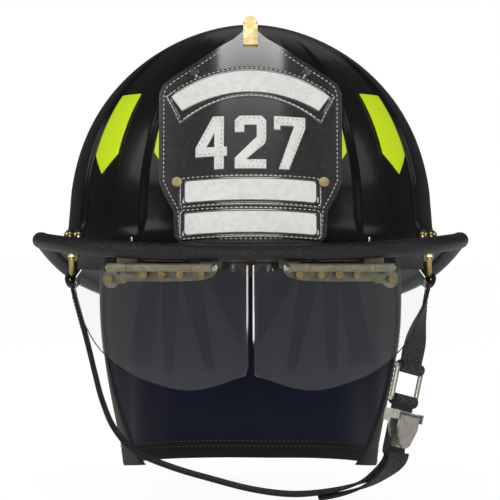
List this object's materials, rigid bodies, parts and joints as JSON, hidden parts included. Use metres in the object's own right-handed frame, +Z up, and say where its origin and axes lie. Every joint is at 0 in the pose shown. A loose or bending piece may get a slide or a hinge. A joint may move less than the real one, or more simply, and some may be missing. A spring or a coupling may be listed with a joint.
{
  "type": "firefighter helmet",
  "caption": "Traditional structural firefighter helmet with ribbed shell, wide brim, leather front, flip-down lenses, ratchet suspension, neck curtain and buckled chinstrap.",
  "frame": {"origin": "centre of the dome's base in the brim plane, where the head sits", "axes": "+Z up through the crown, -Y forward through the leather front, +X to the wearer's left"},
  "size_m": [0.3002, 0.393, 0.3234],
  "materials": {
    "shell_black": "satin gloss moulded black",
    "bead_rubber": "pebbled black rubber",
    "trim_lime": "fluorescent lime retroreflective sheet",
    "leather_black": "polished black leather",
    "leather_white": "white leather",
    "rivet_silver": "bright nickel",
    "brass_bright": "polished brass",
    "post_black": "moulded black",
    "foam_grey": "moulded foam",
    "webbing_black": "woven webbing",
    "pad_brown": "soft leather",
    "plastic_black": "moulded nylon",
    "gear_grey": "moulded acetal",
    "lens_clear": "clear polycarbonate",
    "plate_olive": "aged olive brass",
    "pin_steel": "plain steel",
    "ring_brass": "aged brass",
    "slide_metal": "worn nickel",
    "curtain_navy": "flame-resistant cloth with flannel lining"
  },
  "bodies": {
    "helmet": {"outer_shell": "shell_black", "edge_bead": "bead_rubber", "reflective_trim": "trim_lime", "leather_front": "leather_black", "crescent_panel": "leather_white", "upper_panel": "leather_white", "lower_panel": "leather_white", "front_number": "leather_white", "front_rivets": "rivet_silver", "front_screws": "brass_bright", "front_posts": "post_black", "front_holder": "brass_bright", "holder_screws": "brass_bright", "impact_liner": "foam_grey", "crown_straps": "webbing_black", "crown_pad": "pad_brown", "suspension_keys": "plastic_black", "headband": "plastic_black", "brow_pad": "pad_brown", "nape_pad": "pad_brown", "ratchet_housing": "plastic_black", "lens_bracket_left": "plate_olive", "lens_bracket_right": "plate_olive", "bracket_screws": "brass_bright", "ring_bracket_left": "plate_olive", "ring_bracket_right": "plate_olive", "brim_bolts": "brass_bright", "brim_nuts": "brass_bright", "neck_curtain": "curtain_navy"},
    "lens_left_unit": {"lens_left": "lens_clear", "lens_plate_left": "plate_olive", "lens_rivets_left": "ring_brass", "hinge_pin_left": "pin_steel"},
    "lens_right_unit": {"lens_right": "lens_clear", "lens_plate_right": "plate_olive", "lens_rivets_right": "ring_brass", "hinge_pin_right": "pin_steel"},
    "adjuster": {"ratchet_knob": "plastic_black", "ratchet_pinion": "gear_grey"},
    "left_rack": {"rack_left": "gear_grey"},
    "right_rack": {"rack_right": "gear_grey"},
    "left_ring": {"d_ring_left": "ring_brass"},
    "right_ring": {"d_ring_right": "ring_brass"},
    "chinstrap": {"strap_loops": "webbing_black", "strap_left": "webbing_black", "strap_right": "webbing_black", "strap_tail": "webbing_black", "slide_frame": "slide_metal", "hook_body": "slide_metal", "lever_pin": "pin_steel"},
    "lever": {"release_lever": "slide_metal"}
  },
  "joints": [
    {"name": "lens_left_flip", "type": "hinge", "parent": "helmet", "child": "lens_left_unit", "pos_m": [0.00558, -0.17742, -0.017], "axis": [-0.9032, -0.4292, 0], "range_deg": [0, 165]},
    {"name": "lens_right_flip", "type": "hinge", "parent": "helmet", "child": "lens_right_unit", "pos_m": [-0.00558, -0.17742, -0.017], "axis": [-0.9032, 0.4292, 0], "range_deg": [0, 165]},
    {"name": "size_knob", "type": "hinge", "parent": "helmet", "child": "adjuster", "pos_m": [0, 0.1067, -0.008], "axis": [0, 1, 0], "range_deg": [-120, 120]},
    {"name": "rack_left_slide", "type": "slide", "parent": "helmet", "child": "left_rack", "axis": [1, 0, 0], "range_m": [-0.0106, 0.0106]},
    {"name": "rack_right_slide", "type": "slide", "parent": "helmet", "child": "right_rack", "axis": [1, 0, 0], "range_m": [-0.0106, 0.0106]},
    {"name": "ring_left_tilt", "type": "hinge", "parent": "helmet", "child": "left_ring", "pos_m": [0.118, -0.065, -0.0105], "axis": [0, 1, 0], "range_deg": [-3, 3]},
    {"name": "ring_right_tilt", "type": "hinge", "parent": "helmet", "child": "right_ring", "pos_m": [-0.118, -0.065, -0.0105], "axis": [0, 1, 0], "range_deg": [-3, 3]},
    {"name": "chinstrap_swing", "type": "hinge", "parent": "helmet", "child": "chinstrap", "pos_m": [0, -0.065, -0.0105], "axis": [-1, 0, 0], "range_deg": [-1.5, 25]},
    {"name": "lever_open", "type": "hinge", "parent": "chinstrap", "child": "lever", "pos_m": [0.10423, -0.07783, -0.1161], "axis": [-0.5873, -0.7867, 0.1902], "range_deg": [0, 70]}
  ],
  "couplings": [
    {"joint": "rack_left_slide", "follows": "size_knob", "m_per_rad": 0.005},
    {"joint": "rack_right_slide", "follows": "size_knob", "m_per_rad": -0.005}
  ]
}
